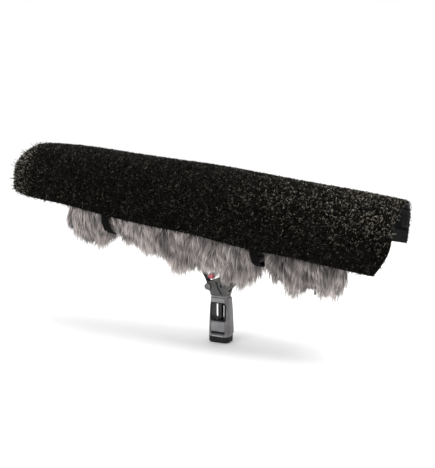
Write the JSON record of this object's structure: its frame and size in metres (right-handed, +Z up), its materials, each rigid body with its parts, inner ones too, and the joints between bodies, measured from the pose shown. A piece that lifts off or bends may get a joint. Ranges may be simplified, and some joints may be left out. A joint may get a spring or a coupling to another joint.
{
  "type": "furry microphone windscreen",
  "caption": "Tubular microphone windshield in grey fur with a black wiry rain cover strapped over it, on a tilting pistol grip with a red release button.",
  "frame": {"origin": "centre of the boom thread mouth in the foot of the pistol grip", "axes": "+Z up along the grip, +X from nose to rear along the windshield, which rests 6 degrees nose up, +Y to its right-hand side"},
  "size_m": [0.8097, 0.144, 0.3622],
  "materials": {
    "grip_plastic": "moulded glass-filled nylon, fine matte texture",
    "plate_plastic": "lighter matte moulding, blank",
    "frame_plastic": "black matte moulding",
    "grip_rubber": "soft matte rubber",
    "button_red": "semi-gloss red moulding",
    "steel": "zinc-plated steel",
    "brass": "turned brass",
    "alloy": "dark anodised alloy",
    "basket_plastic": "black-grey moulded mesh",
    "lyre_plastic": "flexible black moulding",
    "fur_grey": "long-pile grey fur fabric",
    "webbing": "black elastic webbing",
    "zip_black": "black coil zip",
    "mat_black": "coarse black rubberised fibre mat",
    "lining_black": "smooth black nylon"
  },
  "bodies": {
    "grip": {"grip_shell_left": "grip_plastic", "grip_shell_right": "grip_plastic", "badge_plate_left": "plate_plastic", "badge_plate_right": "plate_plastic", "upper_plate_left": "plate_plastic", "upper_plate_right": "plate_plastic", "window_frame": "frame_plastic", "spindle_post": "steel", "boom_insert": "brass", "base_cap": "grip_rubber", "back_strip": "grip_rubber", "shell_screws": "steel", "head_fork": "grip_plastic", "tilt_bolt": "steel", "tilt_nut": "steel", "friction_washers": "frame_plastic", "lever_pin": "steel"},
    "lever": {"lock_lever": "frame_plastic"},
    "button": {"release_button": "button_red"},
    "windshield": {"tilt_stem": "alloy", "saddle": "frame_plastic", "saddle_bolts": "steel", "chassis_rail": "alloy", "basket_tube": "basket_plastic", "front_ring": "basket_plastic", "rear_ring": "basket_plastic", "nose_dome": "basket_plastic", "fur_sleeve": "fur_grey", "zip_tape": "zip_black", "front_strap": "webbing", "rear_strap": "webbing"},
    "rear_dome": {"rear_dome": "basket_plastic"},
    "front_suspension": {"front_carrier": "frame_plastic", "front_lyre": "lyre_plastic"},
    "rear_suspension": {"rear_carrier": "frame_plastic", "rear_lyre": "lyre_plastic"},
    "front_screw": {"front_lock_screw": "frame_plastic"},
    "rear_screw": {"rear_lock_screw": "frame_plastic"},
    "zip": {"zip_slider": "zip_black"},
    "zip_tab": {"zip_pull": "webbing"},
    "rain_cover": {"cover_mat": "mat_black", "cover_lining": "lining_black", "hook_patches": "webbing", "rear_band": "webbing", "pull_loop": "webbing"}
  },
  "joints": [
    {"name": "tilt", "type": "hinge", "parent": "grip", "child": "windshield", "pos_m": [0.008, 0, 0.112], "axis": [0, 1, 0], "range_deg": [-30, 30]},
    {"name": "lever_turn", "type": "hinge", "parent": "grip", "child": "lever", "pos_m": [-0.021, 0, 0.108], "axis": [0, 1, 0], "range_deg": [-80, 0]},
    {"name": "button_press", "type": "slide", "parent": "lever", "child": "button", "axis": [-0.9135, 0, -0.4067], "range_m": [0, 0.002], "stiffness_N_per_m": 400, "springref_m": -0.001},
    {"name": "rear_dome_twist", "type": "hinge", "parent": "windshield", "child": "rear_dome", "pos_m": [0.22002, 0, 0.24456], "axis": [0.9945, 0, -0.1045], "range_deg": [0, 25]},
    {"name": "front_carrier_slide", "type": "slide", "parent": "windshield", "child": "front_suspension", "axis": [0.9945, 0, -0.1045], "range_m": [-0.04, 0.04]},
    {"name": "rear_carrier_slide", "type": "slide", "parent": "windshield", "child": "rear_suspension", "axis": [0.9945, 0, -0.1045], "range_m": [-0.04, 0.04]},
    {"name": "front_screw_turn", "type": "hinge", "parent": "front_suspension", "child": "front_screw", "pos_m": [-0.09896, -0.017, 0.24239], "axis": [0, 1, 0], "range_deg": [0, 270]},
    {"name": "rear_screw_turn", "type": "hinge", "parent": "rear_suspension", "child": "rear_screw", "pos_m": [0.10989, -0.017, 0.22044], "axis": [0, 1, 0], "range_deg": [0, 270]},
    {"name": "zip_slide", "type": "slide", "parent": "windshield", "child": "zip", "axis": [0.9945, 0, -0.1045], "range_m": [-0.07, 0]},
    {"name": "zip_tab_swing", "type": "hinge", "parent": "zip", "child": "zip_tab", "pos_m": [0.1881, 0, 0.12263], "axis": [0, 1, 0], "range_deg": [-60, 60]},
    {"name": "cover_lift", "type": "slide", "parent": "windshield", "child": "rain_cover", "axis": [0.1045, 0, 0.9945], "range_m": [0, 0.2]}
  ]
}
